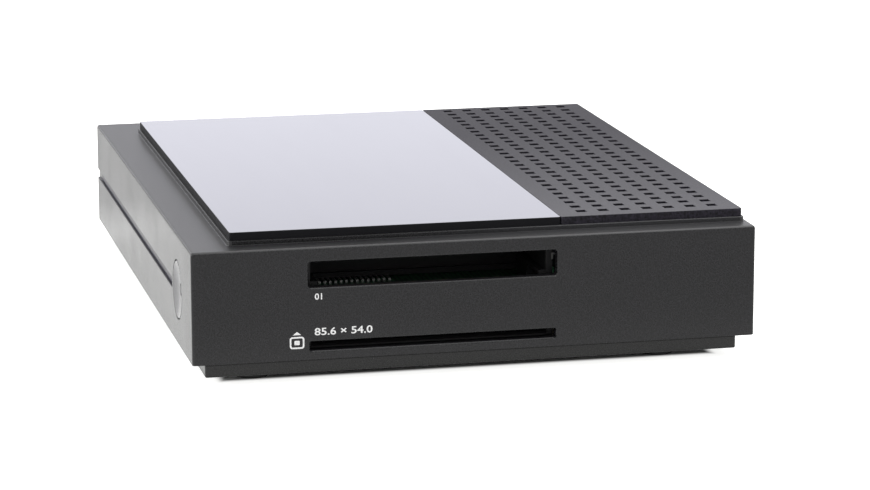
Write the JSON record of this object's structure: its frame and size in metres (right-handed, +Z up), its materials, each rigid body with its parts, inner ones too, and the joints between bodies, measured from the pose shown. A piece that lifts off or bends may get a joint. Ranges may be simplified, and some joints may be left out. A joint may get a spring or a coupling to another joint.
{
  "type": "satellite tv receiver",
  "caption": "Compact set-top satellite receiver: black case, gloss and vented top panels, round power button, side module and card slots, rear sockets and rocker switch.",
  "frame": {"origin": "centre of the footprint of the whole object (case and aerial sockets), on the surface that the feet stand on", "axes": "+Z up, -Y out of the front panel, +Y out of the rear sockets, +X out of the side with the two card slots"},
  "size_m": [0.164, 0.1366, 0.0342],
  "materials": {
    "case_plastic": "fine-grained matt moulded plastic, near black",
    "base_plastic": "matt moulded plastic, near black",
    "gloss_black": "polished black acrylic",
    "grille_plastic": "fine-grained matt moulded plastic, near black",
    "panel_steel": "black powder coat on steel sheet",
    "foot_rubber": "matt black rubber",
    "ir_acrylic": "dark infrared-clear acrylic",
    "button_plastic": "satin moulded plastic, near black",
    "board_green": "green solder mask on glass laminate",
    "connector_black": "black moulded connector plastic",
    "chip_epoxy": "black moulding compound",
    "pad_grey": "grey silicone pad",
    "sink_aluminium": "extruded aluminium",
    "capacitor_sleeve": "black shrink sleeve",
    "coil_ferrite": "grey ferrite",
    "plated_steel": "tin-plated steel sheet",
    "nickel_plate": "bright nickel plate",
    "white_insulator": "white moulded insulator",
    "gold_contact": "gold-flashed spring contact",
    "lamp_clear": "clear lamp epoxy",
    "screw_steel": "black-oxide steel",
    "spacer_brass": "turned brass",
    "rocker_gloss": "glossy black plastic"
  },
  "bodies": {
    "housing": {"aerial_input": "nickel_plate", "aerial_insulators": "white_insulator", "aerial_nuts": "nickel_plate", "aerial_output": "nickel_plate", "av_jack": "connector_black", "base_tray": "base_plastic", "board_screws": "screw_steel", "board_spacers": "spacer_brass", "capacitors": "capacitor_sleeve", "card_contacts": "gold_contact", "ci_board": "board_green", "ci_card_guide": "connector_black", "ci_header": "connector_black", "ci_pins": "gold_contact", "ci_solder_leads": "plated_steel", "crystal": "plated_steel", "dc_pin": "plated_steel", "dc_socket": "connector_black", "ethernet_contacts": "gold_contact", "ethernet_socket": "connector_black", "flash_chip": "chip_epoxy", "foot_front_left": "foot_rubber", "foot_front_right": "foot_rubber", "foot_rear_left": "foot_rubber", "foot_rear_right": "foot_rubber", "front_board": "board_green", "front_board_connector": "connector_black", "gloss_top_panel": "gloss_black", "hdmi_socket": "plated_steel", "hdmi_tongue": "connector_black", "heat_sink": "sink_aluminium", "housing_screws": "screw_steel", "ir_receiver": "chip_epoxy", "ir_window": "ir_acrylic", "main_board": "board_green", "memory_chips": "chip_epoxy", "optical_socket": "connector_black", "power_coils": "coil_ferrite", "rear_panel": "panel_steel", "smart_card_reader": "connector_black", "soc_chip": "chip_epoxy", "stack_plug": "connector_black", "stack_socket": "connector_black", "status_led": "lamp_clear", "switch_housing": "connector_black", "switch_terminals": "plated_steel", "tact_switch": "connector_black", "thermal_pad": "pad_grey", "top_cover": "case_plastic", "tuner_can": "plated_steel", "usb_socket": "plated_steel", "usb_tongue": "white_insulator", "vent_panel": "grille_plastic"},
    "power_button": {"power_button": "button_plastic"},
    "switch_plunger": {"tact_plunger": "connector_black"},
    "rear_rocker": {"switch_rocker": "rocker_gloss"}
  },
  "joints": [
    {"name": "power_button_press", "type": "slide", "parent": "housing", "child": "power_button", "axis": [0, 1, 0], "range_m": [0, 0.0005], "stiffness_N_per_m": 1200, "springref_m": -0.0002},
    {"name": "switch_plunger_press", "type": "slide", "parent": "housing", "child": "switch_plunger", "axis": [0, 1, 0], "range_m": [0, 0.0005]},
    {"name": "rear_rocker_tilt", "type": "hinge", "parent": "housing", "child": "rear_rocker", "pos_m": [0.068, 0.056, 0.0188], "axis": [1, 0, 0], "range_deg": [0, 18]}
  ],
  "couplings": [
    {"joint": "switch_plunger_press", "follows": "power_button_press", "ratio": 1}
  ]
}
